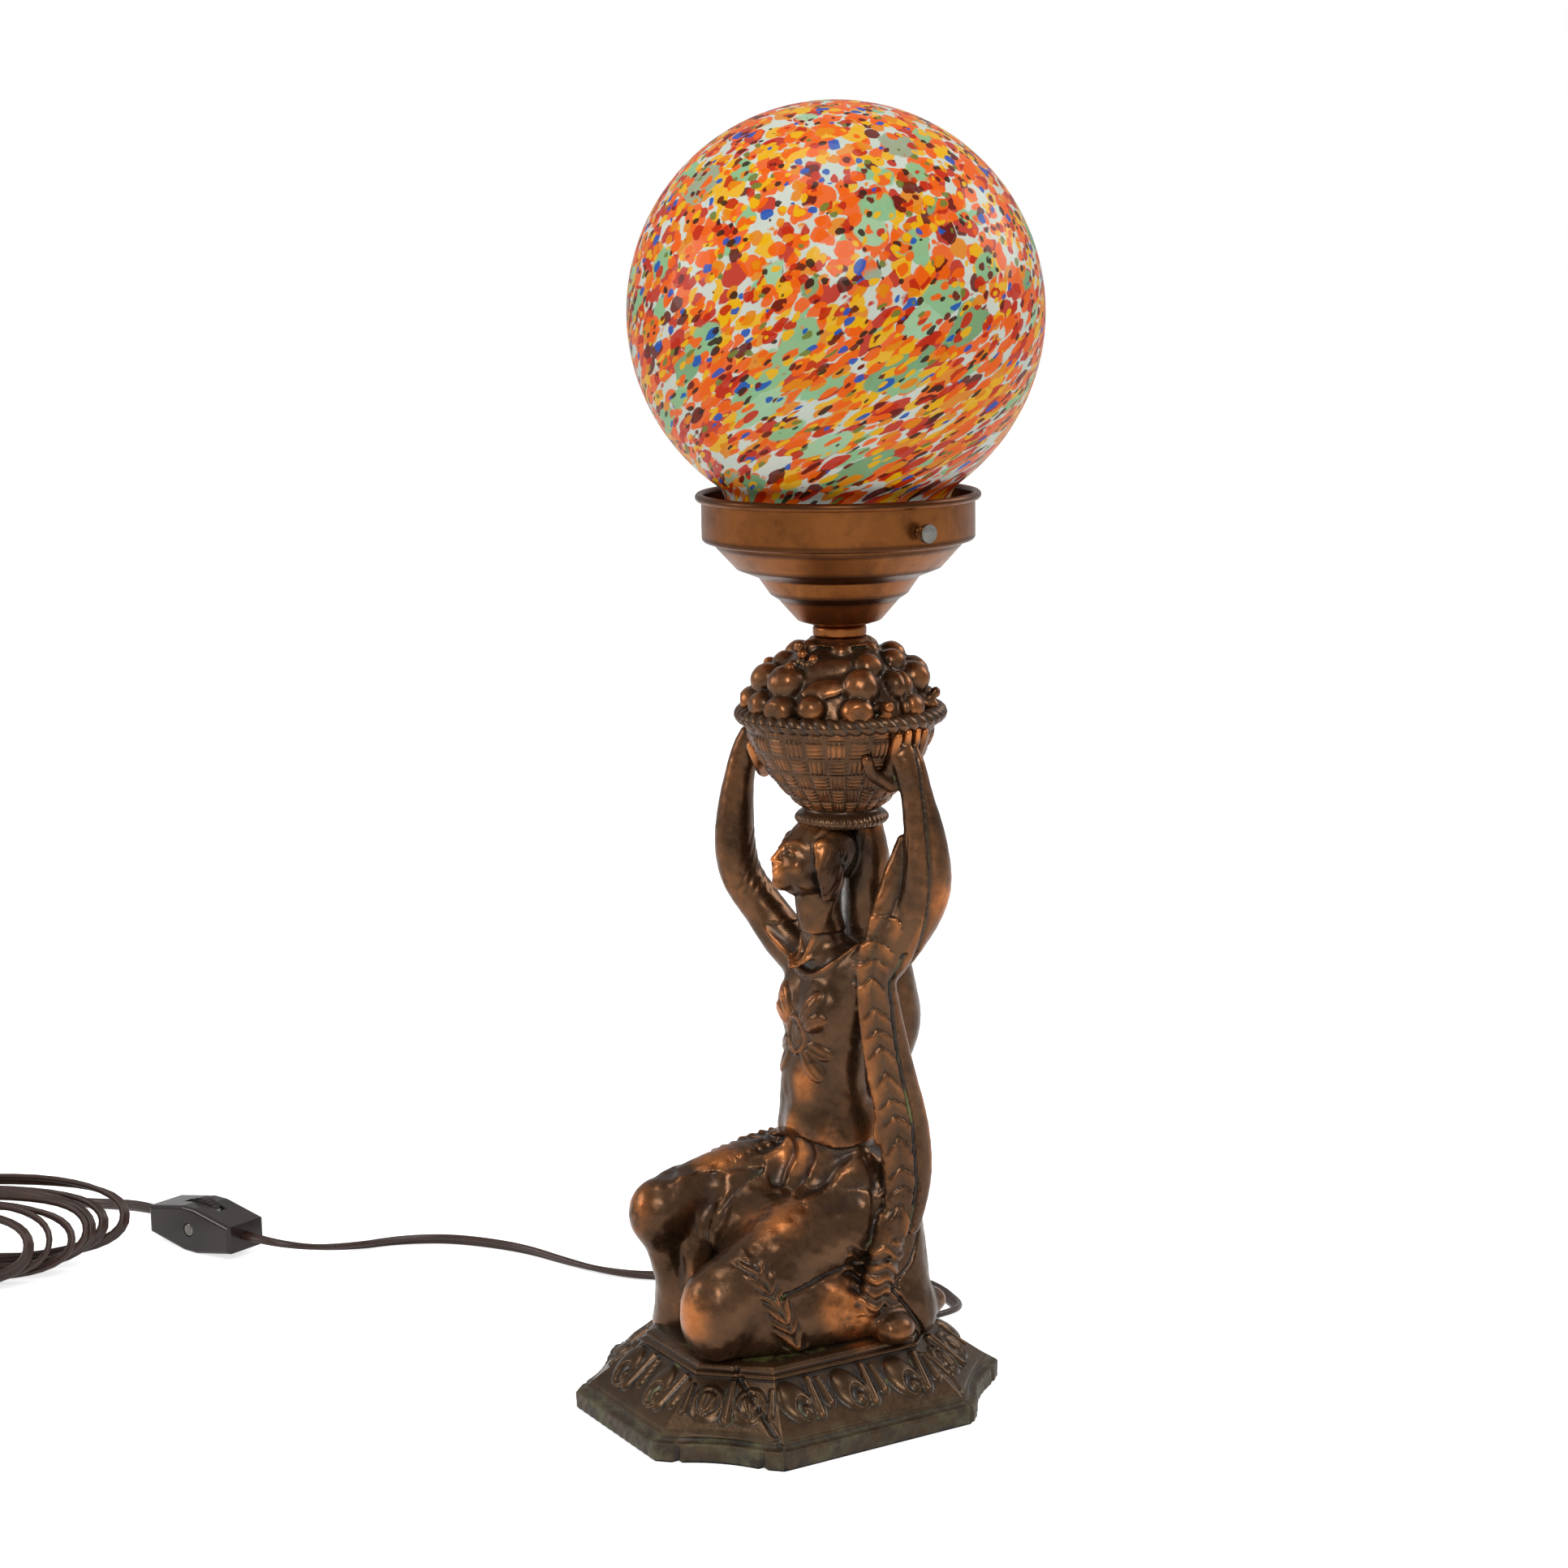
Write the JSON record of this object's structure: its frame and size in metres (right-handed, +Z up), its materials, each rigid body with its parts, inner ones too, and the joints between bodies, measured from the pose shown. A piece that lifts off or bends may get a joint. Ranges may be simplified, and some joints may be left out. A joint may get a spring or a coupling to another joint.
{
  "type": "figural table lamp",
  "caption": "Kneeling draped figure in cast metal lifting a woven fruit basket that carries a stepped copper gallery and a speckled glass globe, with an inline cord switch.",
  "frame": {"origin": "on the surface the lamp stands on, under the centre of its base", "axes": "+Z up; the figure faces -Y and the figure's left side is +X"},
  "size_m": [0.5254, 0.4368, 0.4998],
  "materials": {
    "spelter_bronze": "bronze-coloured patina, rubbed copper on the high places",
    "felt": "dark felt",
    "steel": "zinc-plated, dull",
    "copper": "lacquered spun copper, satin",
    "nickel": "worn nickel plate",
    "brass": "raw brass",
    "card": "insulating card",
    "porcelain": "unglazed",
    "speckled_glass": "white-cased glass with coloured frit under clear",
    "bulb_glass": "frosted",
    "aluminium": "drawn",
    "cord_brown": "brown soft vinyl",
    "phenolic": "near-black brown moulding"
  },
  "bodies": {
    "lamp": {"front_casting": "spelter_bronze", "rear_casting": "spelter_bronze", "side_casting": "spelter_bronze", "base_felt": "felt", "lamp_tube": "steel", "base_washer": "steel", "base_nut": "brass", "seat_collar": "copper", "gallery_nut": "brass", "cord_gland": "phenolic", "gallery": "copper", "globe": "speckled_glass", "socket_cap": "brass", "socket_shell": "brass", "socket_liner": "card", "socket_body": "porcelain", "screw_shell": "brass", "centre_contact": "brass", "terminal_screws": "brass", "bulb_cap": "aluminium", "bulb_glass": "bulb_glass", "inner_cord": "cord_brown", "cord_lamp_side": "cord_brown", "switch_front": "phenolic", "switch_back": "phenolic", "switch_screw": "steel", "cord_hank_side": "cord_brown", "cord_hank": "cord_brown", "cord_plug_side": "cord_brown", "plug_body": "cord_brown", "plug_blades": "brass"},
    "thumb_screw_a": {"thumb_screw_a": "nickel"},
    "thumb_screw_b": {"thumb_screw_b": "nickel"},
    "switch_wheel": {"switch_wheel": "phenolic"}
  },
  "joints": [
    {"name": "thumb_screw_a_travel", "type": "slide", "parent": "lamp", "child": "thumb_screw_a", "axis": [0.9986, 0.0523, 0], "range_m": [0, 0.0055]},
    {"name": "thumb_screw_b_travel", "type": "slide", "parent": "lamp", "child": "thumb_screw_b", "axis": [-0.5446, 0.8387, 0], "range_m": [0, 0.0055]},
    {"name": "switch_wheel_turn", "type": "hinge", "parent": "lamp", "child": "switch_wheel", "pos_m": [-0.2975, -0.1294, 0.0125], "axis": [0.342, -0.9397, 0], "continuous": true}
  ]
}
